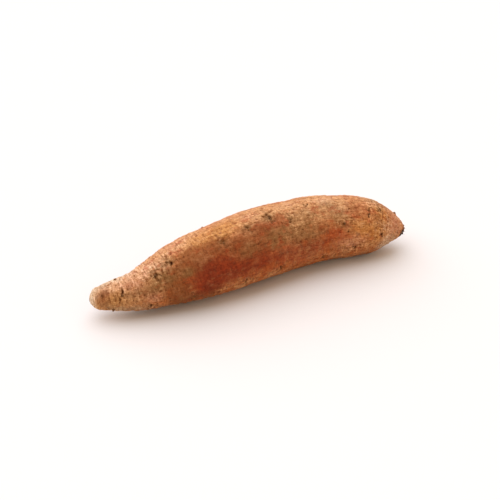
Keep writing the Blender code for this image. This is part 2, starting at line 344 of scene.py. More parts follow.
# Marks on the skin. Rows: distance from the tail tip, angle round, reach along, reach
# around, turn in degrees, rise in mm (below zero is a pit), darkness, paleness. The rim of a
# pit is counted in the mark's reaches and in shares of its depth. The warts round an eye are
# counted in the eye's reaches away from it.
marks = {
    "seed": 19,
    "span": 3.2,
    "rimAt": 1.7,
    "rimWidth": 0.55,
    "rimHeight": 0.3,
    "tintReach": 1.3,
    "wartAway": (1.0, 1.9),
    "wartRise": (0.1, 0.24),
    "seen": (
        (8.5, 138, 1, 2.8, 4, -0.22, 0.62, 0), (7, 128, 0.7, 1.6, -8, -0.12, 0.5, 0),
        (20.3, 140, 0.7, 2.4, 6, -0.6, 1, 0), (19.6, 150, 0.6, 1.9, -8, -0.45, 0.9, 0),
        (20.6, 161, 0.5, 1.6, 2, -0.25, 0.6, 0), (18.2, 168, 0.5, 2.6, 8, -0.2, 0.55, 0),
        (14.6, 148, 0.6, 0.8, 0, -0.15, 0.5, 0), (27.2, 162, 0.8, 0.7, 0, -0.2, 0.7, 0),
        (30, 157, 0.5, 0.5, 0, -0.12, 0.5, 0), (33.2, 163, 0.6, 0.6, 0, -0.12, 0.5, 0),
        (23.6, 91, 1.5, 1.2, 10, 0.4, 0, 0.7), (22.8, 96, 0.5, 0.7, 0, -0.15, 0.6, 0),
        (46.2, 128.5, 0.8, 1.6, 12, 0.5, 0, 0.75), (44.6, 134, 0.8, 1.5, 10, 0.45, 0, 0.65),
        (48.6, 125, 0.7, 1.2, 16, 0.35, 0, 0.55), (50.2, 115, 0.7, 1.4, 24, 0.35, 0, 0.5),
        (53.2, 119, 0.7, 1.2, -10, 0.4, 0, 0.6), (56.6, 116, 0.7, 1.1, 6, 0.4, 0, 0.5),
        (43.6, 125, 1.1, 1.2, 0, -0.6, 1, 0), (42.4, 130, 0.7, 1.2, 12, -0.35, 0.85, 0),
        (45.6, 131, 0.6, 0.9, -10, -0.3, 0.8, 0), (40.6, 123, 0.7, 1.6, 8, -0.25, 0.6, 0),
        (45.4, 122.5, 1.1, 1.2, 20, 0.6, 0, 0.9), (47.4, 118, 0.9, 1.1, 30, 0.45, 0, 0.7),
        (54.9, 117.5, 1, 1.4, 0, -0.65, 1, 0), (54, 123, 0.7, 0.9, 14, -0.3, 0.75, 0),
        (52.2, 113, 0.7, 1.1, -12, -0.25, 0.6, 0), (55.6, 110, 0.6, 0.8, 0, -0.2, 0.55, 0),
        (51, 107.5, 1.1, 1, 10, 0.5, 0, 0.8), (61.6, 100, 0.7, 0.7, 0, -0.2, 0.6, 0),
        (68.2, 95, 1.1, 0.8, 0, 0.35, 0.1, 0.7), (58.3, 89, 0.5, 0.5, 0, -0.15, 0.5, 0),
        (89.2, 116, 1, 0.9, 20, -0.4, 0.8, 0), (86.6, 120.5, 0.9, 1, -20, -0.35, 0.75, 0),
        (90.5, 121, 0.7, 0.9, 10, -0.25, 0.6, 0), (92, 110, 0.6, 0.7, 0, -0.15, 0.5, 0),
        (88, 125, 0.5, 1.2, 25, -0.2, 0.6, 0), (86.4, 138, 0.45, 2.6, 24, 0, 0, 0.55),
        (87.9, 140, 0.4, 1.8, 20, 0, 0, 0.4), (108.7, 111.5, 0.9, 0.9, 0, -0.5, 0.95, 0),
        (108.1, 117, 0.7, 0.9, 0, -0.4, 0.9, 0), (110.2, 121.5, 0.6, 0.6, 0, -0.2, 0.6, 0),
        (106.6, 114, 0.5, 0.8, 10, -0.2, 0.5, 0), (109.8, 104.5, 1.1, 1, 0, 0.5, 0, 0.85),
        (112.3, 112, 0.8, 1, 0, 0.35, 0, 0.6), (126.7, 97.5, 0.9, 1.4, 16, -0.4, 0.75, 0),
        (127.6, 104, 0.9, 1.3, 14, -0.55, 0.9, 0), (127, 109, 1, 0.9, 0, -0.65, 1, 0),
        (125, 103, 0.6, 1.1, 0, -0.25, 0.6, 0), (128.6, 115, 0.7, 0.8, 10, -0.35, 0.8, 0),
        (126.4, 117, 0.6, 0.7, 0, -0.25, 0.6, 0), (130, 120, 0.6, 0.6, 0, -0.2, 0.6, 0),
        (124.2, 96, 1.1, 1, 0, 0.4, 0, 0.7), (140.2, 119, 0.7, 1, 0, -0.35, 0.8, 0),
        (139.4, 124.5, 0.8, 0.8, 0, -0.35, 0.85, 0), (139.6, 113.5, 1.1, 0.8, 0, 0.5, 0, 0.9),
        (156.3, 94, 0.6, 1.2, 14, -0.3, 0.75, 0), (157.2, 99.5, 0.6, 1.2, 14, -0.3, 0.7, 0),
        (171.8, 111, 0.7, 1, 0, -0.2, 0.5, 0), (181.8, 145, 0.9, 1, 0, -0.25, 0.65, 0),
        (184.5, 159, 0.9, 0.8, 0, -0.35, 0.85, 0), (178, 146, 0.7, 0.8, 0, -0.15, 0.45, 0),
        (186.6, 112, 0.6, 1, 12, -0.25, 0.65, 0), (187, 117, 0.9, 0.6, 0, -0.25, 0.65, 0),
        (200.6, 116.5, 0.45, 1.7, 2, -0.5, 0.95, 0), (199.9, 124, 0.4, 1.6, 8, -0.3, 0.7, 0),
        (199.5, 131.5, 0.45, 1.7, -4, -0.5, 0.95, 0), (209.2, 105.5, 0.8, 1, 0, -0.4, 0.85, 0),
        (209.8, 111, 0.7, 1.2, 0, -0.35, 0.75, 0), (209.4, 117.5, 0.7, 1, 0, -0.3, 0.7, 0),
        (212.4, 170, 0.9, 1, 0, -0.4, 0.9, 0), (221.8, 148, 0.6, 0.6, 0, -0.15, 0.4, 0),
    ),
}


def eyeMarks(draw):
    # round each eye that the list above leaves plain: a slit across, a few pits, a ring of warts
    rows = []
    for number, (along, angle, reachAlong, reachAround, depth) in enumerate(allEyes()):
        radius = radiusAt(along) * float(endRounding(np.array([along]))[0])
        degreesPerMm = math.degrees(1 / radius)
        if number >= len(eyes["seen"]):
            slit = -0.3 * depth - 0.2
            rows.append((along, angle, 0.6, reachAround * 0.55, draw.uniform(-15, 15), slit, 0.95, 0.0))
            for _ in range(draw.integers(2, 5)):
                away = draw.normal(0, 0.5, 2) * (reachAlong, reachAround)
                rows.append((
                    along + away[0], angle + away[1] * degreesPerMm, draw.uniform(0.5, 0.8),
                    draw.uniform(0.6, 1.1), draw.uniform(-25, 25), -0.3, draw.uniform(0.55, 0.95), 0.0,
                ))
        for _ in range(draw.integers(4, 8)):
            toward = draw.uniform(0, fullTurn)
            away = draw.uniform(*marks["wartAway"])
            rows.append((
                along + math.cos(toward) * away * reachAlong,
                angle + math.sin(toward) * away * reachAround * degreesPerMm,
                draw.uniform(0.7, 1.1), draw.uniform(0.8, 1.5), draw.uniform(-20, 20),
                draw.uniform(*marks["wartRise"]), 0.0, draw.uniform(0.0, 0.35),
            ))
    return rows


# Scattered marks by kind: how many, then the ranges of a mark row's values from its reach along.
scattered = {
    "rootletScar": (60, (0.5, 0.8), (0.6, 1.2), (-25, 25), (-0.3, -0.12), (0.25, 0.6), (0, 0)),
    "lenticel": (520, (0.45, 0.65), (0.8, 1.9), (-14, 14), (0.08, 0.2), (0, 0), (0.2, 0.55)),
    "crack": (120, (0.4, 0.5), (1.6, 4.2), (-10, 10), (-0.22, -0.1), (0.2, 0.5), (0, 0)),
    "scratch": (40, (2.5, 8), (0.4, 0.55), (-9, 9), (-0.07, 0.02), (0, 0.15), (0.15, 0.5)),
    "scuff": (26, (1.2, 3.4), (0.9, 2.2), (-40, 40), (-0.08, -0.03), (0, 0), (0.3, 0.7)),
}


def scatteredMarks(draw):
    rows = []
    for count, *ranges in scattered.values():
        for _ in range(count):
            place = (draw.uniform(3, form["length"] - 3), draw.uniform(0, 360))
            rows.append((*place, *(draw.uniform(*limits) for limits in ranges)))
    return rows


def stampMarks(rows, along, angle, reach):
    # each mark adds its rise and shades times exp(-q^1.5), q being the squared distance in
    # reaches, with a low rim round a pit; only the rings near a mark are touched
    shape = (len(along), angle.size)
    height, dark, pale = np.zeros(shape), np.zeros(shape), np.zeros(shape)
    for centre, middle, reachAlong, reachAround, turn, rise, darkness, paleness in rows:
        span = marks["span"] * max(reachAlong, reachAround)
        first, last = np.searchsorted(along, [centre - span, centre + span])
        lengthwise = (along[first:last] - centre)[:, None]
        around = turnFrom(angle, middle)[None, :] * reach[first:last][:, None]
        cos, sin = math.cos(math.radians(turn)), math.sin(math.radians(turn))
        q = ((lengthwise * cos + around * sin) / reachAlong) ** 2
        q = q + ((around * cos - lengthwise * sin) / reachAround) ** 2
        core = np.exp(-q ** 1.5)
        rim = np.exp(-((np.sqrt(q) - marks["rimAt"]) / marks["rimWidth"]) ** 2)
        height[first:last] += rise * (core - rim * (marks["rimHeight"] if rise < 0 else 0.0))
        spot = np.exp(-q / marks["tintReach"])
        for field, most in ((dark, darkness), (pale, paleness)):
            field[first:last] = np.maximum(field[first:last], most * spot)
    return height, dark, pale


# Stains: broad tints of the skin; on the near lower flank some of them also carry painted shadow. Rows:
# distance from the tail tip, angle round, reach along, reach around in mm, strength.
stains = {
    "cream": (
        (2, 150, 2.5, 40, 0.75), (10, 70, 11, 6, 0.85), (13, 98, 9, 7, 0.7), (5, 114, 5, 5, 0.8),
        (28, 84, 10, 9, 0.6), (40, 98, 9, 8, 0.75), (47, 108, 6, 4, 0.6), (50, 124, 3.5, 3, 0.6),
        (62, 90, 12, 6, 0.4), (114, 88, 10, 5, 0.45), (144, 84, 14, 6, 0.45), (172, 92, 9, 7, 0.65),
        (180, 116, 9, 5, 0.4), (208, 82, 10, 7, 0.45), (223, 90, 5, 9, 0.4), (204, 102, 6, 4, 0.4),
        (212, 152, 14, 10, 0.35), (220, 170, 6, 10, 0.4),
    ),
    "chalk": (
        (9, 66, 12, 6, 0.9), (3, 84, 4, 8, 0.7), (2, 150, 2, 40, 0.6), (24, 70, 8, 4, 0.6),
        (24, 214, 16, 5, 0.6), (218, 208, 8, 8, 0.7), (204, 76, 12, 4, 0.4),
    ),
    "dust": (
        (45, 131, 6, 7, 0.95), (53, 112, 5, 5, 0.75), (88, 118, 5, 5, 0.5), (109, 112, 5, 5, 0.75),
        (126, 103, 5.5, 6, 0.9), (140, 117, 4.5, 4.5, 0.6), (153, 118, 14, 8, 0.6),
        (134, 138, 8, 5, 0.6), (173, 104, 9, 6, 0.6), (178, 130, 8, 8, 0.75), (184, 152, 5, 5, 0.6),
        (208, 84, 10, 6, 0.6), (12, 190, 6, 6, 0.5), (24, 150, 9, 5, 0.35), (22, 206, 8, 4, 0.6),
    ),
    # red: red patches of the skin; the broad rows from 70 to 160 mm on the near lower flank are also
    # painted shadow and painted orange reflection
    "red": (
        (87, 160, 20, 11, 0.85), (82, 142, 12, 7, 0.45), (126, 132, 16, 7, 0.5),
        (70, 178, 11, 12, 0.95), (112, 168, 28, 8, 0.65), (99, 125, 8, 5, 0.6),
        (119, 122, 7, 6, 0.75), (131, 117, 5, 4, 0.65), (172, 158, 12, 6, 0.65),
        (186, 164, 12, 4, 0.4), (193, 122, 8, 12, 0.4), (204, 166, 8, 5, 0.45),
        (221.5, 126, 4.5, 9, 0.95), (34, 188, 10, 7, 0.4), (142, 184, 46, 12, 0.5),
    ),
    # olive: dusty olive-brown skin round the eyes; the two rows at 212 degrees by the table are partly
    # painted shadow
    "olive": (
        (42, 141, 4.5, 7, 0.9), (49, 144, 7, 6, 0.85), (60.5, 150, 4, 4, 0.7), (63, 148, 4, 5, 0.5),
        (36, 148, 6, 6, 0.4), (104, 148, 9, 5, 0.6), (123, 144, 8, 8, 0.85), (142, 142, 18, 7, 0.6),
        (152, 156, 14, 6, 0.5), (150, 130, 10, 5, 0.5), (54, 212, 12, 7, 0.4), (72, 212, 8, 6, 0.4),
        (30, 162, 9, 5, 0.5), (17, 152, 5, 6, 0.5), (222, 196, 4, 9, 0.4), (209, 112, 3, 4, 0.5),
    ),
    # russet: brown-red skin, which on the near flank is also painted shade; the rows by the table at 190 to
    # 210 degrees are painted shadow
    "russetAndShade": (
        (53, 168, 8, 11, 0.85), (55, 152, 8, 7, 0.8), (66, 130, 11, 8, 0.95),
        (68, 144, 10, 6, 0.85), (80, 124, 10, 6, 0.85), (94, 132, 12, 6, 0.85),
        (86, 114, 7, 4, 0.6), (110, 124, 12, 6, 0.7), (124, 132, 12, 8, 0.75),
        (104, 152, 16, 8, 0.8), (146, 154, 18, 6, 0.7), (164, 146, 8, 5, 0.5), (54, 192, 9, 9, 0.8),
        (208, 142, 5, 8, 0.5), (9, 144, 4.5, 9, 0.8), (36, 150, 6, 8, 0.5), (26, 130, 7, 5, 0.4),
        (112, 112, 12, 4, 0.4), (132, 112, 6, 5, 0.5), (56, 208, 12, 8, 0.9),
        (72, 206, 10, 8, 0.85), (190, 116, 7, 6, 0.5), (68, 112, 12, 5, 0.35),
    ),
    # painted shade: a dark red-brown laid along the near lower flank, where the shadow falls
    "paintedShade": (
        (77, 166, 13, 9, 0.95), (96, 174, 18, 7, 0.7), (126, 174, 30, 8, 0.5),
        (158, 172, 20, 8, 0.4), (71, 192, 10, 8, 0.75), (80, 148, 12, 6, 0.4),
        (116, 150, 12, 6, 0.4),
    ),
    "gold": (
        (3.5, 140, 3, 12, 0.7), (15, 160, 9, 7, 0.7), (74, 98, 9, 9, 0.6), (96, 90, 16, 9, 0.7),
        (66, 116, 9, 4, 0.5), (207, 108, 5, 6, 0.6), (213, 138, 8, 10, 0.65),
        (206, 160, 12, 8, 0.8), (192, 154, 10, 7, 0.7), (204, 186, 14, 9, 0.3),
        (88, 108, 10, 6, 0.8), (34, 196, 10, 6, 0.5),
    ),
    "pink": (
        (30, 92, 12, 10, 0.65), (18, 112, 6, 6, 0.5), (219, 156, 7, 10, 0.35),
        (190, 178, 14, 6, 0.5), (30, 128, 9, 8, 0.4), (37, 176, 7, 6, 0.6), (62, 72, 14, 7, 0.5),
        (104, 62, 40, 8, 0.4), (186, 72, 14, 8, 0.4), (219, 84, 5, 6, 0.6),
    ),
    "soot": (
        (230, 170, 1.7, 2.8, 1), (228.8, 205, 1.9, 3, 1),
    ),
}
hiddenStains = {
    "seed": 23,
    "count": 9,
    "angles": (225.0, 415.0),
    "reach": (7.0, 20.0),
    "strength": (0.35, 0.85),
}


def stainField(name, along, angle, reach):
    # one minus the product of one minus each stain's hump, so that stains build up to 1;
    # the places are a grid, or a list of single ones
    rows = list(stains[name])
    draw = np.random.default_rng(hiddenStains["seed"] + len(rows))
    if name != "soot":
        for _ in range(hiddenStains["count"]):
            rows.append((
                draw.uniform(8, form["length"] - 8), draw.uniform(*hiddenStains["angles"]),
                draw.uniform(*hiddenStains["reach"]), draw.uniform(*hiddenStains["reach"]) * 0.6,
                draw.uniform(*hiddenStains["strength"]),
            ))
    left = 1.0
    for centre, middle, reachAlong, reachAround, strength in rows:
        left = left * (1 - strength * hump(along, angle, reach, centre, middle, reachAlong, reachAround))
    return 1 - left


def eyeField(along, angle, reach, wide):
    # the strongest hump of the eyes, each wider or narrower than its dent
    field = np.zeros((len(along), angle.size))
    for centre, middle, reachAlong, reachAround, depth in allEyes():
        wideAlong, wideAround = reachAlong * wide, reachAround * wide
        spot = hump(along[:, None], angle[None, :], reach[:, None], centre, middle, wideAlong, wideAround)
        field = np.maximum(field, spot * min(1.0, 0.55 + 0.35 * depth))
    return field


# The skin as a mesh: rings of points from the tail tip to the stem scar, closed by a point
# at each end.
skinGrid = {"rings": 436, "sides": 222, "ringsToTips": 0.25, "scarRings": 9}


def ringDistances():
    # even steps, drawn part of the way towards a cosine spacing that gathers at the tips
    even = np.linspace(0, 1, skinGrid["rings"] + 1)[1:]
    gathered = 0.5 - 0.5 * np.cos(math.pi * even)
    return form["length"] * (even + (gathered - even) * skinGrid["ringsToTips"])


def outwardNormals(points):
    # the cross product of the steps round and along the grid
    around = np.roll(points, -1, axis=1) - np.roll(points, 1, axis=1)
    onward = np.gradient(points, axis=0)
    normals = np.cross(around, onward)
    return normals / np.linalg.norm(normals, axis=-1, keepdims=True)


def gridFaces(rings, sides, start=0):
    # quads between neighbouring rings, the last side joined to the first
    low = np.arange(rings - 1)[:, None] * sides + np.arange(sides)[None, :] + start
    lowNext = low - np.arange(sides) + (np.arange(sides) + 1) % sides
    return np.stack([low, lowNext, lowNext + sides, low + sides], axis=-1).reshape(-1, 4)


def fanFaces(ringStart, sides, pole, forwards):
    # triangles from a ring to a pole
    here = ringStart + np.arange(sides)
    following = ringStart + (np.arange(sides) + 1) % sides
    poles = np.full(sides, pole)
    order = (here, following, poles) if forwards else (following, here, poles)
    return np.stack(order, axis=-1)


def addPiece(name, points, faces, material):
    # a mesh object at the origin, its points given in millimetres
    mesh = bpy.data.meshes.new(name)
    mesh.from_pydata((points * mm).tolist(), [], [face.tolist() for part in faces for face in part])
    mesh.validate()
    mesh.shade_smooth()
    mesh.materials.append(material)
    piece = bpy.data.objects.new(name, mesh)
    bpy.context.scene.collection.objects.link(piece)
    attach(piece, bodyName)
    return piece


def addField(piece, name, values, kind="FLOAT"):
    # a value for each point, which the materials read
    attribute = piece.data.attributes.new(name, kind, "POINT")
    member = "vector" if kind == "FLOAT_VECTOR" else "value"
    attribute.data.foreach_set(member, values.astype(np.float32).ravel())


def footprintShift():
    # the solid is centred on its footprint, so the plain form is moved to its low corner
    along = ringDistances()
    angle = evenAngles(skinGrid["sides"])
    lowest = formSurface(along[:, None], angle[None, :]).reshape(-1, 3).min(axis=0)
    corner = np.array(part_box(nodeName)[0]) / mm
    return np.array([corner[0] - lowest[0], corner[1] - lowest[1], 0.0])


def onSkin(surface, along, degrees):
    # the point and the outward normal at a place: the grid's four nearest points, blended
    distances, points, normals = surface
    sides = points.shape[1]
    row = np.interp(along, distances, np.arange(len(distances)))
    column = np.mod(degrees, 360.0) / 360.0 * sides
    low = np.minimum(row.astype(int), len(distances) - 2)
    left = column.astype(int) % sides
    right = (left + 1) % sides
    down, across = (row - low)[..., None], (column - np.floor(column))[..., None]

    def blend(grid):
        near = grid[low, left] * (1 - across) + grid[low, right] * across
        far = grid[low + 1, left] * (1 - across) + grid[low + 1, right] * across
        return near * (1 - down) + far * down

    normal = blend(normals)
    return blend(points), normal / np.linalg.norm(normal, axis=-1, keepdims=True)


def clearOfTable(rows, least=2.0):
    # the rows whose place on the skin lies at least that many millimetres above the table
    rows = np.array(rows)
    return rows[onSkin(surface, rows[:, 0], rows[:, 1])[0][:, 2] > least]


def makeSkin(material, shift):
    along = ringDistances()
    angle = evenAngles(skinGrid["sides"])
    plain = formSurface(along[:, None], angle[None, :])
    reach = courseAt(along)[0] * endRounding(along)
    straight = straightened(along[:, None], angle[None, :], reach[:, None])
    draw = np.random.default_rng(marks["seed"])
    rows = list(marks["seen"]) + eyeMarks(draw) + scatteredMarks(draw)
    markHeight, dark, pale = stampMarks(rows, along, angle, reach)
    height = skinRelief(straight, eyeField(along, angle, reach, relief["nearEye"])) + markHeight
    height = height - height.mean()
    # the cavity of the relief, which the material paints as shade in the creases and light on the ridges
    creaseRidgeShade = cavity(height)
    skin = plain + outwardNormals(plain) * height[..., None]

    rim = skin[-1]
    middle = rim.mean(axis=0)
    tangent = sectionFrames(np.array([form["length"]]))[2][0]
    inward = np.linspace(0, 1, skinGrid["scarRings"] + 2)[1:-1]
    sunk = form["scarDepth"] * (1 - (1 - inward) ** 2)
    scar = middle + (rim - middle)[None] * (1 - inward)[:, None, None] - tangent * sunk[:, None, None]
    tailTip = skin[0].mean(axis=0) - sectionFrames(np.array([0.0]))[2][0] * 0.02
    points = np.concatenate([
        skin.reshape(-1, 3), scar.reshape(-1, 3), [tailTip, middle - tangent * form["scarDepth"]]
    ])
    points = settleOnTable(points) + shift

    rings, sides = len(along) + len(inward), skinGrid["sides"]
    faces = [
        gridFaces(rings, sides),
        fanFaces(0, sides, rings * sides, False),
        fanFaces((rings - 1) * sides, sides, rings * sides + 1, True),
    ]
    piece = addPiece("skin", points, faces, material)
    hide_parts(nodeName)

    def withEnds(field):
        # the scar's rings and the two poles take the value of the nearest ring
        last = np.repeat(field[-1:], len(inward), axis=0)
        flat = field.reshape(-1, *field.shape[2:])
        ends = [field[0].mean(axis=0), field[-1].mean(axis=0)]
        return np.concatenate([flat, last.reshape(-1, *field.shape[2:]), ends])

    addField(piece, "straight", withEnds(straight), "FLOAT_VECTOR")
    addField(piece, "dark", withEnds(dark))
    addField(piece, "pale", withEnds(pale))
    addField(piece, "creaseRidgeShade", withEnds(creaseRidgeShade))
    addField(piece, "eye", withEnds(eyeField(along, angle, reach, 0.85)))
    for name in stains:
        addField(piece, name, withEnds(stainField(name, along[:, None], angle[None, :], reach[:, None])))
    grid = settleOnTable(skin) + shift
    return piece, (along, grid, outwardNormals(grid))


# Helpers for the materials.
def startMaterial(name):
    material = bpy.data.materials.new(name)
    material.use_nodes = True
    return material, material.node_tree, material.node_tree.nodes["Principled BSDF"]


def addNode(tree, kind, settings=None, **inputs):
    # a node whose inputs are values or the outputs of other nodes
    made = tree.nodes.new(kind)
    for key, value in (settings or {}).items():
        setattr(made, key, value)
    for key, value in inputs.items():
        plug(tree, value, made.inputs[key])
    return made


def plug(tree, value, socket):
    if isinstance(value, bpy.types.NodeSocket):
        tree.links.new(value, socket)
    else:
        socket.default_value = value


def doMath(tree, operation, first, second=0.0, clamp=False):
    made = addNode(tree, "ShaderNodeMath", {"operation": operation, "use_clamp": clamp})
    plug(tree, first, made.inputs[0])
    plug(tree, second, made.inputs[1])
    return made.outputs[0]


def times(tree, first, second):
    return doMath(tree, "MULTIPLY", first, second)


def plus(tree, first, second, clamp=False):
    return doMath(tree, "ADD", first, second, clamp)


def centred(tree, value, weight):
    # how far the value is from a half, times the weight
    return times(tree, doMath(tree, "SUBTRACT", value, 0.5), weight)


def stepUp(tree, value, low, high, least=0.0, most=1.0):
    # rises smoothly from least to most as the value goes from low to high
    made = addNode(tree, "ShaderNodeMapRange", {"interpolation_type": "SMOOTHSTEP"})
    names = ("Value", "From Min", "From Max", "To Min", "To Max")
    for name, number in zip(names, (value, low, high, least, most)):
        plug(tree, number, made.inputs[name])
    return made.outputs[0]


def mixColour(tree, share, first, second, blend="MIX"):
    made = addNode(tree, "ShaderNodeMix", {"data_type": "RGBA", "blend_type": blend})
    for index, value in ((0, share), (6, first), (7, second)):
        if not isinstance(value, (bpy.types.NodeSocket, float)):
            value = (*value, 1.0)
        plug(tree, value, made.inputs[index])
    return made.outputs[2]


def readField(tree, name, output="Fac"):
    return addNode(tree, "ShaderNodeAttribute", {"attribute_name": name}).outputs[output]


def scaledBy(tree, vector, scale):
    made = addNode(tree, "ShaderNodeVectorMath", {"operation": "MULTIPLY"})
    plug(tree, vector, made.inputs[0])
    made.inputs[1].default_value = scale
    return made.outputs[0]


def noise(tree, vector, size, detail, roughness, stretch=(1.0, 1.0, 1.0)):
    # noise whose features are about size millimetres, longer where stretch is above 1
    at = scaledBy(tree, vector, tuple(1 / (size * s) for s in stretch))
    settings = {"Scale": 1.0, "Detail": detail, "Roughness": roughness}
    return addNode(tree, "ShaderNodeTexNoise", Vector=at, **settings).outputs["Fac"]


def finishShader(tree, shader, colour, roughness, specular, height, bumpHeight):
    # the bump rises by its height times bumpHeight, in millimetres
    tree.links.new(colour, shader.inputs["Base Color"])
    tree.links.new(roughness, shader.inputs["Roughness"])
    shader.inputs["Specular IOR Level"].default_value = specular
    bump = addNode(tree, "ShaderNodeBump", Strength=1.0, Distance=mm * bumpHeight, Height=height)
    tree.links.new(bump.outputs["Normal"], shader.inputs["Normal"])


def crackNet(tree, vector):
    # the distance to the borders of cells, which are longer than wide and bent by noise
    bend = addNode(tree, "ShaderNodeTexNoise", Vector=vector, Scale=0.7, Detail=2.0)
    bent = addNode(tree, "ShaderNodeVectorMath", {"operation": "MULTIPLY_ADD"})
    plug(tree, bend.outputs["Color"], bent.inputs[0])
    bent.inputs[1].default_value = (1.6, 1.6, 1.6)
    plug(tree, vector, bent.inputs[2])
    cells = scaledBy(tree, bent.outputs[0], (0.32, 0.62, 0.62))
    feature = {"feature": "DISTANCE_TO_EDGE"}
    return addNode(tree, "ShaderNodeTexVoronoi", feature, Vector=cells, Scale=1.0).outputs["Distance"]


# The skin's colours, then the most that each stain tints by, in the order of painting, how much
# noise breaks the edges of stains and of marks, and how much of the pale detail the flank keeps.
# Sizes are those of the noises in mm. Bumps are the heights of the noises in mm.
skinLook = {
    "copper": (0.400, 0.118, 0.029),
    "tan": (0.575, 0.290, 0.120),
    "red": (0.340, 0.050, 0.011),
    # the colour of the painted shade on the near lower flank
    "paintedShade": (0.175, 0.021, 0.006),
    "umber": (0.150, 0.056, 0.012),
    "dust": (0.270, 0.138, 0.052),
    "olive": (0.235, 0.108, 0.034),
    # russet skin, also used as painted shade on the near flank
    "russetAndShade": (0.225, 0.066, 0.017),
    "chalk": (0.640, 0.480, 0.310),
    "cream": (0.720, 0.435, 0.245),
    "pink": (0.600, 0.285, 0.170),
    "gold": (0.500, 0.215, 0.050),
    "flesh": (0.680, 0.350, 0.160),
    "eye": (0.050, 0.010, 0.001),
    "soot": (0.032, 0.014, 0.006),
    "shaded": (0.40, 0.26, 0.15),
    "lit": (1.50, 1.75, 2.10),
    "tints": {
        "red": 0.85, "gold": 0.8, "pink": 0.7, "cream": 0.8, "chalk": 0.85, "russetAndShade": 0.9, "paintedShade": 0.85,
        "dust": 0.85, "olive": 0.85,
    },
    "stainEdge": 1.25,
    "markEdge": 2.1,
    "flankLit": 0.45,
    "tailLength": 54.0,
    "sizes": {
        "wash": 15.0, "broken": 3.2, "blotches": 4.6, "rings": 0.85, "streaks": 0.9, "mottles": 1.9,
        "flecks": 0.62, "ragged": 0.8, "grain": 0.5,
    },
    "bumps": {
        "streaks": -0.4, "rings": -0.45, "mottles": 0.6, "flecks": 0.55, "ragged": 0.4, "grain": 0.3,
    },
    "roughness": (0.55, 0.80),
    "specular": 0.09,
}


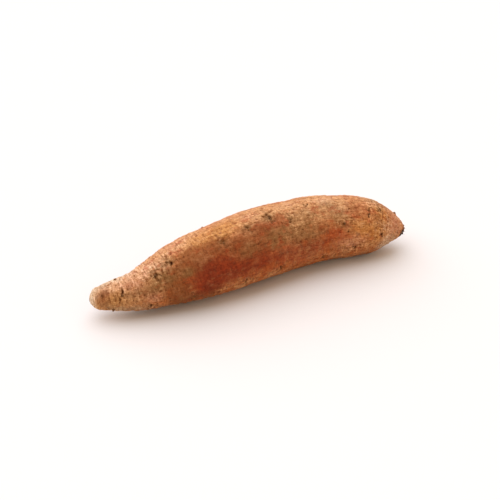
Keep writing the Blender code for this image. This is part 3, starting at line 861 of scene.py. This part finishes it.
def makeSkinMaterial():
    material, tree, shader = startMaterial("sweetPotatoSkin")
    at = readField(tree, "straight", "Vector")
    look, noises = skinLook, {}

    def texture(name, detail, roughness, stretch=(1.0, 1.0, 1.0)):
        noises[name] = noise(tree, at, look["sizes"][name], detail, roughness, stretch)
        return noises[name]

    def tint(share, colour, name, blend="MIX"):
        return mixColour(tree, share, colour, look[name], blend)

    def weighed(parts):
        # the sum of each noise's distance from its middle, times its weight
        total = 0.0
        for part, weight in parts:
            total = plus(tree, centred(tree, part, weight), total)
        return total

    # broad wash of copper and tan, with tan towards the tail, and towards the top, where it is partly a
    # painted sheen of the lit upper side
    wash = texture("wash", 4.0, 0.6)
    place = addNode(tree, "ShaderNodeSeparateXYZ", Vector=at)
    topSheen = stepUp(tree, place.outputs["Z"], 9.0, 23.0, 0.0, 0.65)
    tail = stepUp(tree, place.outputs["X"], look["tailLength"], 20.0, 0.0, 0.55)
    share = plus(tree, stepUp(tree, wash, 0.40, 0.66, 0.0, 0.6), plus(tree, topSheen, tail), True)
    colour = mixColour(tree, share, look["copper"], look["tan"])

    # placed stains, their edges broken up by noise; on the near lower flank the red, russet and painted
    # shade stains paint shadow over the skin's tints
    broken = texture("broken", 5.0, 0.68)
    edge = centred(tree, broken, look["stainEdge"])
    for name, most in look["tints"].items():
        field = plus(tree, readField(tree, name), edge)
        colour = tint(stepUp(tree, field, 0.05, 0.95, 0.0, most), colour, name)

    # blotches of a few millimetres: fewer red ones on the tail, fewer pale ones on the red flank, which
    # holds the painted shade
    flank = doMath(tree, "MAXIMUM", readField(tree, "red"), readField(tree, "paintedShade"))
    flank = doMath(tree, "MAXIMUM", flank, times(tree, readField(tree, "russetAndShade"), 0.7))
    plainness = stepUp(tree, flank, 0.15, 0.75, 1.0, look["flankLit"])
    blotches = texture("blotches", 4.0, 0.62, (1.5, 1.0, 1.0))
    offTail = stepUp(tree, place.outputs["X"], 8.0, 34.0, 0.25, 1.0)
    redBlotches = times(tree, stepUp(tree, blotches, 0.50, 0.74, 0.0, 0.6), offTail)
    colour = tint(redBlotches, colour, "red")
    paleBlotches = times(tree, stepUp(tree, blotches, 0.50, 0.28, 0.0, 0.5), plainness)
    colour = tint(paleBlotches, colour, "tan")

    # fine shade: crosswise lines on the tail, lengthwise ones on the body, mottles, flecks,
    # and from the cavity of the relief, painted shade in the creases and painted light on the ridges
    body = stepUp(tree, place.outputs["X"], 60.0, 115.0)
    rings = texture("rings", 3.0, 0.6, (1.0, 6.0, 6.0))
    ringWeight = doMath(tree, "SUBTRACT", 2.0, times(tree, body, 1.5))
    streaks = texture("streaks", 3.0, 0.6, (8.0, 1.0, 1.0))
    streakWeight = plus(tree, times(tree, body, 1.5), 0.4)
    mottles = texture("mottles", 5.0, 0.7)
    flecks = texture("flecks", 3.0, 0.65, (1.4, 1.0, 1.0))
    net = stepUp(tree, crackNet(tree, at), 0.0, 0.2, 0.15, 0.5)
    stemEnd = stepUp(tree, place.outputs["X"], 176.0, 196.0)
    netPatches = doMath(tree, "MAXIMUM", stepUp(tree, wash, 0.35, 0.6), stemEnd)
    mottleWeight = plus(tree, times(tree, stemEnd, 0.9), 1.1)
    creaseRidgeShade = readField(tree, "creaseRidgeShade")
    shade = weighed((
        (rings, ringWeight), (streaks, streakWeight), (mottles, mottleWeight), (flecks, 2.5),
        (net, times(tree, netPatches, 0.5)), (plus(tree, creaseRidgeShade, 0.5), 1.3),
    ))
    dim = times(tree, stepUp(tree, shade, -0.02, -0.8), plus(tree, times(tree, plainness, 0.7), 0.3))
    colour = tint(dim, colour, "shaded", "MULTIPLY")
    lit = times(tree, stepUp(tree, shade, 0.02, 0.68), plainness)
    colour = tint(lit, colour, "lit", "MULTIPLY")

    # pale scuffs, cork in the eyes, dark pits and soot at the stem, their edges ragged
    offset = centred(tree, texture("ragged", 5.0, 0.8), look["markEdge"])
    pale = plus(tree, times(tree, readField(tree, "pale"), plainness), offset)
    cork, dark, soot = (plus(tree, readField(tree, name), offset) for name in ("eye", "dark", "soot"))
    for field, low, high, most, name in (
        (pale, 0.25, 0.7, 0.6, "flesh"), (cork, 0.25, 0.9, 0.45, "umber"), (cork, 0.95, 1.25, 0.7, "eye"),
        (dark, 0.34, 0.62, 0.65, "umber"), (dark, 0.58, 0.84, 0.95, "eye"), (soot, 0.3, 0.55, 0.97, "soot"),
    ):
        colour = tint(stepUp(tree, field, low, high, 0.0, most), colour, name)

    texture("grain", 3.0, 0.6)
    height = weighed([(noises[name], rise) for name, rise in look["bumps"].items()])
    roughness = stepUp(tree, mottles, 0.3, 0.7, *look["roughness"])
    finishShader(tree, shader, colour, roughness, look["specular"], height, 1.0)
    return material


shift = footprintShift()
skin, surface = makeSkin(makeSkinMaterial(), shift)
print("skin made:", len(skin.data.polygons), "faces, shift", np.round(shift, 3))


def tubes(paths, radii, reference, sides):
    # rings round each path: its point plus the radius times cos and sin of two vectors square to
    # it. paths are tubes x points x 3, radii tubes x points x 1 or x sides, and the reference
    # vectors point away from the paths' own directions
    tangent = np.gradient(paths, axis=1)
    tangent /= np.linalg.norm(tangent, axis=-1, keepdims=True)
    side = np.cross(reference, tangent)
    side /= np.linalg.norm(side, axis=-1, keepdims=True)
    up = np.cross(tangent, side)
    turn = evenAngles(sides)[:, None]
    spokes = np.cos(turn) * side[:, :, None] + np.sin(turn) * up[:, :, None]
    return paths[:, :, None] + radii[..., None] * spokes


def tubeMesh(rings, firstEnds, lastEnds):
    # each tube's rings of points, closed by a point at each end
    count, length, sides = rings.shape[:3]
    size = length * sides + 2
    points = np.concatenate([rings.reshape(count, -1, 3), firstEnds[:, None], lastEnds[:, None]], axis=1)
    faces = [
        gridFaces(length, sides),
        fanFaces(0, sides, size - 2, False),
        fanFaces((length - 1) * sides, sides, size - 1, True),
    ]
    offsets = (np.arange(count) * size)[:, None, None]
    return points.reshape(-1, 3), [(part[None] + offsets).reshape(-1, part.shape[1]) for part in faces]


def tubeField(count, length, sides, reach, radii, seed):
    # a place for each point of the tubes, as if each were straight: distance along it in mm and
    # the place round it, every tube in a stretch of its own
    distance = np.linspace(0, 1, length)[None, :] * reach[:, None]
    along = np.broadcast_to(distance[..., None], (count, length, sides))
    turn = evenAngles(sides)
    sidePlace, upPlace = radii * np.cos(turn), radii * np.sin(turn)
    away = np.random.default_rng(seed).uniform(0, 400, (count, 1, 1))
    place = np.stack([along + away, sidePlace + away, upPlace], axis=-1).reshape(count, -1, 3)
    return np.concatenate([place, place[:, :1], place[:, -1:]], axis=1).reshape(-1, 3)


def addTubes(name, material, made, ends, radii, length, seed):
    # a piece of closed tubes, with the field that the root materials read
    points, faces = tubeMesh(made, *ends)
    piece = addPiece(name, points, faces, material)
    wide = np.broadcast_to(radii, made.shape[:3])
    addField(piece, "lengthwise", tubeField(*wide.shape, length, wide, seed), "FLOAT_VECTOR")
    return piece


# Stubs of broken side roots, as on the solid but for two that are lower here. Rows: distance
# from the tail tip, angle round, length that shows, radius at the foot, lean towards the tail.
stubs = {
    "rows": (
        (13.5, 214, 1.3, 0.8, 20), (17.8, 74, 0.9, 0.65, 35), (43, 126, 1, 0.7, 30),
        (88, 48, 0.45, 0.6, 40), (126.6, 108, 1.2, 0.75, 25), (146, 330, 2.4, 0.85, 35),
        (171, 20, 1.8, 0.75, 30), (222.5, 70, 0.9, 0.9, 10),
    ),
    "perEye": 2,
    "eyeLength": (0.25, 0.8),
    "eyeRadius": (0.26, 0.46),
    "sunk": 1.0,
    "tip": 0.55,
    "flare": 0.5,
    "flareReach": 0.4,
    "ridges": 0.10,
    "torn": 0.22,
    "rings": 14,
    "sides": 16,
    "seed": 31,
}


def stubRows(draw):
    rows = list(stubs["rows"])
    for along, angle, reachAlong, reachAround, _ in allEyes():
        radius = radiusAt(along)
        for _ in range(stubs["perEye"]):
            away = draw.normal(0, 0.4, 2) * (reachAlong, reachAround)
            rows.append((
                along + away[0], angle + math.degrees(away[1] / radius),
                draw.uniform(*stubs["eyeLength"]), draw.uniform(*stubs["eyeRadius"]),
                draw.uniform(-20, 40),
            ))
    return clearOfTable(rows)


def makeStubs(material):
    # tapered pegs with a flared foot and a torn, dished end
    draw = np.random.default_rng(stubs["seed"])
    along, degrees, length, radius, lean = stubRows(draw).T
    foot, normal = onSkin(surface, along, degrees)
    tangent = sectionFrames(along)[2]
    lean = np.radians(lean)[:, None]
    direction = normal * np.cos(lean) - tangent * np.sin(lean)
    direction /= np.linalg.norm(direction, axis=-1, keepdims=True)
    count, rings, sides = len(along), stubs["rings"], stubs["sides"]
    share = np.linspace(0, 1, rings)
    height = -stubs["sunk"] + (length[:, None] + stubs["sunk"]) * share
    paths = foot[:, None] + direction[:, None] * height[..., None]
    bend = np.cross(direction, draw.normal(size=(count, 3)))
    paths = paths + bend[:, None] * (0.12 * np.clip(height, 0, None) ** 2)[..., None]
    taper = 1 + (stubs["tip"] - 1) * np.clip(height / length[:, None], 0, 1)
    flare = stubs["flare"] * np.exp(-(height / stubs["flareReach"]) ** 2)
    turn = evenAngles(sides)
    phase = draw.uniform(0, fullTurn, (count, 1, 1))
    ridges = 1 + stubs["ridges"] * np.cos(5 * turn + phase)
    ridges = ridges + stubs["ridges"] * 0.6 * np.cos(3 * turn - phase)
    radii = (radius[:, None] * (taper + flare))[..., None] * ridges
    radii[:, 0] *= 0.5
    reference = np.broadcast_to(tangent[:, None], paths.shape)
    made = tubes(paths, radii, reference, sides)
    ragged = draw.uniform(-1, 1, (count, sides)) * stubs["torn"] * radius[:, None] / 0.8
    made[:, -1] += ragged[..., None] * direction[:, None]
    made[:, -2] += 0.4 * ragged[..., None] * direction[:, None]
    lastEnds = paths[:, -1] - direction * (0.35 * radius)[:, None]
    ends = (paths[:, 0], lastEnds)
    return addTubes("rootletStubs", material, made, ends, radii, length + stubs["sunk"], 5)


# Thin dry root hairs that lie against the skin. The first rows are placed, the rest are drawn
# near the eyes. Rows: distance from the tail tip, angle round, length, heading in degrees.
hairs = {
    "rows": (
        (5, 150, 4, 205), (21.5, 155, 3.5, 60), (46, 121, 4, 330), (57, 112, 3.6, 20),
        (128.5, 112, 4.4, 75),
    ),
    "count": 20,
    "angles": (200.0, 410.0),
    "length": (4.0, 13.0),
    "radius": 0.12,
    "lift": 0.28,
    "points": 26,
    "sides": 6,
    "seed": 41,
}


def makeHairs(material):
    # each path runs over the skin with a slowly turning heading, lifted a little between its ends
    draw = np.random.default_rng(hairs["seed"])
    rows = list(hairs["rows"])
    spots = [eye for eye in allEyes() if hairs["angles"][0] - 20 < eye[1] < hairs["angles"][1]]
    for _ in range(hairs["count"]):
        eye = spots[draw.integers(len(spots))]
        rows.append((
            eye[0] + draw.normal(0, 1.5), eye[1] + draw.normal(0, 5),
            draw.uniform(*hairs["length"]), draw.uniform(0, 360),
        ))
    along, degrees, length, heading = clearOfTable(rows, 4.0).T
    count = len(along)
    share = np.linspace(0, 1, hairs["points"])
    wander = draw.normal(0, 1, (count, 3))
    turning = 0.0
    for k in range(3):
        phase = wander[:, [(k + 1) % 3]] * 3
        turning = turning + wander[:, [k]] * np.sin((k + 1) * 2.6 * share + phase)
    direction = np.radians(heading)[:, None] + 0.7 * turning
    step = (length / (hairs["points"] - 1))[:, None]
    forwards = np.cumsum(np.cos(direction) * step, axis=1)
    sidewards = np.cumsum(np.sin(direction) * step, axis=1)
    distance = np.clip(along[:, None] + forwards, 0.5, form["length"] - 1)
    radius = courseAt(distance)[0]
    foot, normal = onSkin(surface, distance, degrees[:, None] + np.degrees(sidewards / radius))
    ripple = np.abs(np.sin(3.1 * math.pi * share + wander[:, :1]))
    lift = hairs["lift"] * (0.25 + ripple) * np.sin(math.pi * share ** 0.7)
    paths = foot + normal * (lift - 0.02 + 0.06 * share)[..., None]
    paths[..., 2] = np.maximum(paths[..., 2], 2 * hairs["radius"])
    radii = (hairs["radius"] * (1 - 0.65 * share) * draw.uniform(0.6, 1.2, (count, 1)))[..., None]
    made = tubes(paths, radii, normal, hairs["sides"])
    return addTubes("rootHairs", material, made, (paths[:, 0], paths[:, -1]), radii, length, 6)


# The scar of the stem: a lumpy corky rim round a dished face, as a profile turned round the
# tip. Profile rows: share of the scar's radius, height along the root's own direction in mm.
# Burnt rows: where the rim is black, as an angle round and a reach in degrees.
stemScar = {
    "profile": (
        (0.02, -2.0), (0.5, -2.0), (0.94, -1.5), (1.00, -0.8), (1.04, -0.35), (1.04, 0.05), (0.98, 0.34),
        (0.88, 0.4), (0.78, 0.2), (0.70, -0.1), (0.58, -0.5), (0.42, -0.7), (0.25, -0.8), (0.03, -0.85),
    ),
    "burnt": ((170.0, 9.0), (204.0, 10.0), (20.0, 30.0), (290.0, 24.0)),
    "rings": 56,
    "everySide": 2,
    "lumpSize": 1.5,
    "lumpHeight": 0.55,
    "fibreDepth": 0.16,
    "strands": 22,
    "strandLength": (0.7, 2.0),
    "strandRadius": (0.10, 0.20),
    "strandPoints": 9,
    "strandSides": 7,
    "seed": 53,
}


def scarFrame():
    grid = surface[1]
    middle = grid[-1].mean(axis=0)
    outwards = grid[-1].mean(axis=0) - grid[-6].mean(axis=0)
    return middle, outwards / np.linalg.norm(outwards), grid[-1][::stemScar["everySide"]] - middle


def addScar(name, material, points, face, burnt):
    # rings of points closed by their middles, with the fields that the cork material reads
    ends = (points[0].mean(axis=0)[None], points[-1].mean(axis=0)[None])
    allPoints, faces = tubeMesh(points[None], *ends)
    piece = addPiece(name, allPoints, faces, material)
    for field, values, atEnds in (("face", face[:, None], [0.0, 1.0]), ("burnt", burnt, [1.0, 1.0])):
        values = np.broadcast_to(values, points.shape[:2])
        addField(piece, field, np.concatenate([values.ravel(), atEnds]))
    return piece


def makeStemScar(material):
    # each point is the middle, plus its share of the way to the rim, plus its height, both
    # moved by noise where the scar is outside
    middle, outwards, spokes = scarFrame()
    profile = np.array(stemScar["profile"])
    step = np.linspace(0, len(profile) - 1, stemScar["rings"])
    share = smoothThrough(np.arange(len(profile)), profile[:, 0], step)
    height = smoothThrough(np.arange(len(profile)), profile[:, 1], step)
    points = middle + spokes[None] * share[:, None, None] + outwards * height[:, None, None]
    outside = np.clip((height + 1.6) / 0.8, 0, 1)[:, None, None] * np.clip(step / 4, 0, 1)[:, None, None]
    lumps = layeredNoise(points / stemScar["lumpSize"], 3, 91)[..., None] * stemScar["lumpHeight"]
    turn = evenAngles(len(spokes))
    around = stacked(share[:, None] * 1.2, 5 * np.cos(turn), 5 * np.sin(turn))
    fibres = layeredNoise(around, 2, 97)[..., None] * stemScar["fibreDepth"]
    fibres = fibres * np.clip(step / 4 - 1.4, 0, 1)[:, None, None]
    points = points + outside * (outwards * (lumps + fibres) + spokes[None] * lumps * 0.12)
    face = np.clip((step / (len(profile) - 1) - 0.62) / 0.15, 0, 1)
    burnt = sum(
        np.exp(-(np.degrees(turnFrom(turn, place)) / reach) ** 2) for place, reach in stemScar["burnt"]
    )
    return addScar("stemScar", material, points, face, np.clip(burnt, 0, 1))


def makeStrands(material):
    # torn strands that stand up from the dished face, each bent its own way
    draw = np.random.default_rng(stemScar["seed"])
    middle, outwards, spokes = scarFrame()
    count = stemScar["strands"]
    spoke = spokes[draw.integers(0, len(spokes), count)]
    share = np.sqrt(draw.uniform(0.02, 0.75, count))
    foot = middle + spoke * share[:, None] - outwards * (0.85 * (1 - share ** 2))[:, None]
    length = draw.uniform(*stemScar["strandLength"], count)
    steps = np.linspace(0, 1, stemScar["strandPoints"])
    lean = draw.normal(0, 0.5, (count, 3)) + spoke / 12
    paths = foot[:, None] + outwards * (length[:, None] * steps)[..., None] - outwards * 0.2
    paths = paths + lean[:, None] * (length[:, None] * steps ** 2)[..., None]
    radii = (draw.uniform(*stemScar["strandRadius"], count)[:, None] * (1 - 0.7 * steps))[..., None]
    reference = np.broadcast_to(spokes[0] / np.linalg.norm(spokes[0]), paths.shape)
    made = tubes(paths, radii, reference, stemScar["strandSides"])
    return addTubes("scarStrands", material, made, (paths[:, 0], paths[:, -1]), radii, length, 7)


# The callus of the tail, where the thin end of the root broke off.
tailScar = {"radius": 1.5, "height": 0.55, "sunk": 0.9, "rings": 18, "sides": 40, "lump": 0.25}


def makeTailScar(material):
    # a low dome with a pit: height times (1 - share^2) minus a pit at its middle, plus noise
    grid = surface[1]
    middle = grid[0].mean(axis=0)
    outwards = middle - grid[5].mean(axis=0)
    outwards /= np.linalg.norm(outwards)
    spokes = grid[0] - middle
    spokes = spokes[np.linspace(0, len(spokes), tailScar["sides"], endpoint=False).astype(int)][::-1]
    spokes = spokes / np.linalg.norm(spokes, axis=1, keepdims=True) * tailScar["radius"]
    share = np.concatenate([[0.6, 1.0], np.linspace(1.0, 0.06, tailScar["rings"] - 2)])
    height = np.concatenate([[-1.0, -0.9], (1 - share[2:] ** 2) - 0.9 * np.exp(-(share[2:] / 0.35) ** 2)])
    height = np.where(height < -0.5, height * tailScar["sunk"], height * tailScar["height"])
    points = middle + spokes[None] * share[:, None, None] + outwards * height[:, None, None]
    lumps = layeredNoise(points / 0.9, 2, 103)[..., None] * tailScar["lump"]
    points = points + outwards * lumps * np.clip(np.arange(tailScar["rings"]) - 1, 0, 1)[:, None, None]
    return addScar("tailScar", material, points, np.clip(1.2 - share * 1.2, 0, 1), 1.0)


# Flakes of outer skin that have come loose at one edge, away from the smooth red flank.
flakes = {
    "count": 70,
    "reach": (0.45, 1.1),
    "narrow": (0.4, 0.75),
    "torn": 0.55,
    "thickness": 0.04,
    "curl": (0.08, 0.35),
    "flank": 0.35,
    "grid": 11,
    "seed": 71,
}


def makeFlakes(material):
    # a square of places squeezed into a disc, laid over the skin and curled up towards one edge
    draw = np.random.default_rng(flakes["seed"])
    rows = []
    for _ in range(flakes["count"]):
        reach = draw.uniform(*flakes["reach"])
        rows.append((
            draw.uniform(5, form["length"] - 6), draw.uniform(0, 360), reach,
            reach * draw.uniform(*flakes["narrow"]), draw.uniform(0, 180),
        ))
    rows = clearOfTable(rows)
    places = (rows[:, 0], np.radians(rows[:, 1]), courseAt(rows[:, 0])[0])
    rows = rows[np.maximum(stainField("red", *places), stainField("paintedShade", *places)) < flakes["flank"]]
    along, degrees, reachAlong, reachAround, turn = (column[:, None, None] for column in rows.T)
    count, size = len(along), flakes["grid"]
    u, v = np.meshgrid(np.linspace(-1, 1, size), np.linspace(-1, 1, size), indexing="ij")
    x, y = u * np.sqrt(1 - v ** 2 / 2), v * np.sqrt(1 - u ** 2 / 2)
    jag = 1 + flakes["torn"] * layeredNoise(stacked(x * 2.1, y * 2.1, along * 7.3), 2, 113)
    cos, sin = np.cos(np.radians(turn)), np.sin(np.radians(turn))
    forwards = (x * reachAlong * cos - y * reachAround * sin) * jag
    sidewards = (x * reachAlong * sin + y * reachAround * cos) * jag
    distance = np.clip(along + forwards, 0.5, form["length"] - 0.5)
    radius = courseAt(distance)[0] * endRounding(distance)
    foot, normal = onSkin(surface, distance, degrees + np.degrees(sidewards / np.maximum(radius, 3)))
    curl = draw.uniform(*flakes["curl"], (count, 1, 1)) * np.clip(x + 0.4, 0, None) ** 2 / 1.96
    edge = np.clip(1 - x ** 2 - y ** 2, 0, 1) ** 0.5
    top = foot + normal * (curl + 0.02 + flakes["thickness"] * edge)[..., None]
    under = foot + normal * (curl - 0.04 - 0.02 * edge)[..., None]
    half = size * size
    points = np.concatenate([top.reshape(count, half, 3), under.reshape(count, half, 3)], axis=1)
    cell = (np.arange(size - 1)[:, None] * size + np.arange(size - 1)[None, :]).ravel()
    upper = np.stack([cell, cell + size, cell + size + 1, cell + 1], axis=-1)
    border = np.concatenate([
        np.arange(size), np.arange(1, size) * size + size - 1,
        (size - 1) * size + np.arange(size - 2, -1, -1), np.arange(size - 2, 0, -1) * size,
    ])
    following = np.roll(border, -1)
    walls = np.stack([border, following, following + half, border + half], axis=-1)
    faces = np.concatenate([upper[:, ::-1], upper + half, walls[:, ::-1]])
    faces = (faces[None] + (np.arange(count) * 2 * half)[:, None, None]).reshape(-1, 4)
    piece = addPiece("skinFlakes", points.reshape(-1, 3), [faces], material)
    lift = np.broadcast_to(curl, (count, size, size)).reshape(count, half)
    addField(piece, "lift", np.concatenate([lift, lift], axis=1))
    return piece


rootLook = {
    "bark": (0.075, 0.027, 0.008),
    "barkPale": (0.30, 0.16, 0.07),
    "straw": (0.36, 0.20, 0.09),
    "strawDark": (0.13, 0.062, 0.026),
    "cork": (0.022, 0.009, 0.004),
    "corkPale": (0.15, 0.085, 0.045),
    "callus": (0.20, 0.095, 0.042),
    "flake": (0.47, 0.20, 0.078),
    "flakeDark": (0.22, 0.080, 0.026),
}


def makeRootMaterial(name, dark, pale, size, bumpHeight):
    # fibres along the tube: noise stretched lengthwise, dark between them
    material, tree, shader = startMaterial(name)
    at = readField(tree, "lengthwise", "Vector")
    fibres = noise(tree, at, size, 4.0, 0.65, (7.0, 1.0, 1.0))
    patches = noise(tree, at, size * 3, 3.0, 0.6)
    colour = mixColour(tree, stepUp(tree, fibres, 0.36, 0.64), rootLook[dark], rootLook[pale])
    colour = mixColour(tree, stepUp(tree, patches, 0.5, 0.66, 0.0, 0.8), colour, rootLook[dark])
    roughness = stepUp(tree, patches, 0.35, 0.65, 0.7, 0.9)
    finishShader(tree, shader, colour, roughness, 0.1, fibres, bumpHeight)
    return material


def objectPlace(tree):
    # the object's own coordinates, in millimetres
    made = addNode(tree, "ShaderNodeTexCoord")
    return scaledBy(tree, made.outputs["Object"], (1 / mm,) * 3)


def makeCorkMaterial():
    # near-black cork with grey-brown crumbs, brown callus between the burnt places, and a paler
    # broken face
    material, tree, shader = startMaterial("corkyScar")
    at = objectPlace(tree)
    crumbs = noise(tree, at, 0.7, 5.0, 0.7)
    patches = noise(tree, at, 2.2, 3.0, 0.6)
    share = times(tree, stepUp(tree, crumbs, 0.48, 0.66), stepUp(tree, patches, 0.38, 0.62, 0.15, 1.0))
    rim = mixColour(tree, share, rootLook["cork"], rootLook["corkPale"])
    broken = plus(tree, times(tree, crumbs, 2.0), patches)
    burnt = plus(tree, readField(tree, "burnt"), doMath(tree, "SUBTRACT", broken, 1.5))
    rim = mixColour(tree, stepUp(tree, burnt, 0.1, 0.7), rootLook["callus"], rim)
    face = mixColour(tree, stepUp(tree, crumbs, 0.42, 0.6), rootLook["strawDark"], rootLook["corkPale"])
    faceShare = times(tree, readField(tree, "face"), stepUp(tree, patches, 0.3, 0.6, 0.4, 0.9))
    colour = mixColour(tree, faceShare, rim, face)
    height = plus(tree, crumbs, times(tree, patches, 0.6))
    roughness = stepUp(tree, crumbs, 0.35, 0.65, 0.65, 0.92)
    finishShader(tree, shader, colour, roughness, 0.1, height, 0.7)
    return material


def makeFlakeMaterial():
    # papery skin, darker where it still holds on, and thin enough to glow a little
    material, tree, shader = startMaterial("looseSkin")
    at = objectPlace(tree)
    mottles = noise(tree, at, 0.8, 4.0, 0.65)
    colour = mixColour(tree, stepUp(tree, mottles, 0.35, 0.65), rootLook["flakeDark"], rootLook["flake"])
    lifted = stepUp(tree, readField(tree, "lift"), 0.02, 0.2, 0.0, 0.6)
    colour = mixColour(tree, lifted, colour, rootLook["flake"])
    roughness = stepUp(tree, mottles, 0.3, 0.7, 0.5, 0.75)
    finishShader(tree, shader, colour, roughness, 0.15, mottles, 0.25)
    shader.inputs["Subsurface Weight"].default_value = 0.15
    shader.inputs["Subsurface Radius"].default_value = (1.0, 0.4, 0.2)
    shader.inputs["Subsurface Scale"].default_value = 0.3 * mm
    return material


bark = makeRootMaterial("rootletBark", "bark", "barkPale", 0.35, 0.3)
dryRoot = makeRootMaterial("dryRoot", "strawDark", "straw", 0.25, 0.1)
cork = makeCorkMaterial()
for makePiece, material in (
    (makeStubs, bark), (makeHairs, dryRoot), (makeStemScar, cork), (makeStrands, dryRoot),
    (makeTailScar, cork), (makeFlakes, makeFlakeMaterial()),
):
    piece = makePiece(material)
    print(piece.name, "made:", len(piece.data.polygons), "faces")

# Floor and lights. The key light stands behind and to the left, so the near side is shaded.
studio = {
    "floorSize": 12.0,
    "floorColour": (0.66, 0.655, 0.635),
    "keyAzimuth": 208.0,
    "keyElevation": 60.0,
    "keyAngle": 100.0,
    "keyStrength": 2.55,
    "keyColour": (1.0, 1.10, 1.35),
    "worldColour": (1.0, 0.80, 0.62),
    "worldStrength": 0.98,
    "seenColour": (1.0, 1.0, 1.0),
}


def setUpStudio():
    half = studio["floorSize"] / 2
    mesh = bpy.data.meshes.new("floor")
    corners = [(-half, -half, 0), (half, -half, 0), (half, half, 0), (-half, half, 0)]
    mesh.from_pydata(corners, [], [(0, 1, 2, 3)])
    floor = bpy.data.objects.new("floor", mesh)
    bpy.context.scene.collection.objects.link(floor)
    material, _, shader = startMaterial("floorPaint")
    shader.inputs["Base Color"].default_value = (*studio["floorColour"], 1.0)
    shader.inputs["Roughness"].default_value = 0.9
    shader.inputs["Specular IOR Level"].default_value = 0.1
    mesh.materials.append(material)

    sun = bpy.data.lights.new("key", "SUN")
    sun.energy = studio["keyStrength"]
    sun.angle = math.radians(studio["keyAngle"])
    sun.color = studio["keyColour"]
    key = bpy.data.objects.new("key", sun)
    lift, turn = math.radians(studio["keyElevation"]), math.radians(studio["keyAzimuth"])
    key.rotation_euler = (math.pi / 2 - lift, 0.0, turn)
    bpy.context.scene.collection.objects.link(key)

    world = bpy.data.worlds.new("studio")
    world.use_nodes = True
    tree = world.node_tree
    background = tree.nodes["Background"]
    background.inputs["Color"].default_value = (*studio["worldColour"], 1.0)
    background.inputs["Strength"].default_value = studio["worldStrength"]
    seen = addNode(tree, "ShaderNodeBackground", Color=(*studio["seenColour"], 1.0), Strength=1.0)
    path = addNode(tree, "ShaderNodeLightPath")
    blend = addNode(tree, "ShaderNodeMixShader")
    tree.links.new(path.outputs["Is Camera Ray"], blend.inputs[0])
    tree.links.new(background.outputs[0], blend.inputs[1])
    tree.links.new(seen.outputs[0], blend.inputs[2])
    tree.links.new(blend.outputs[0], tree.nodes["World Output"].inputs["Surface"])
    bpy.context.scene.world = world
    bpy.context.scene.view_settings.view_transform = "Standard"


setUpStudio()
print("studio set")
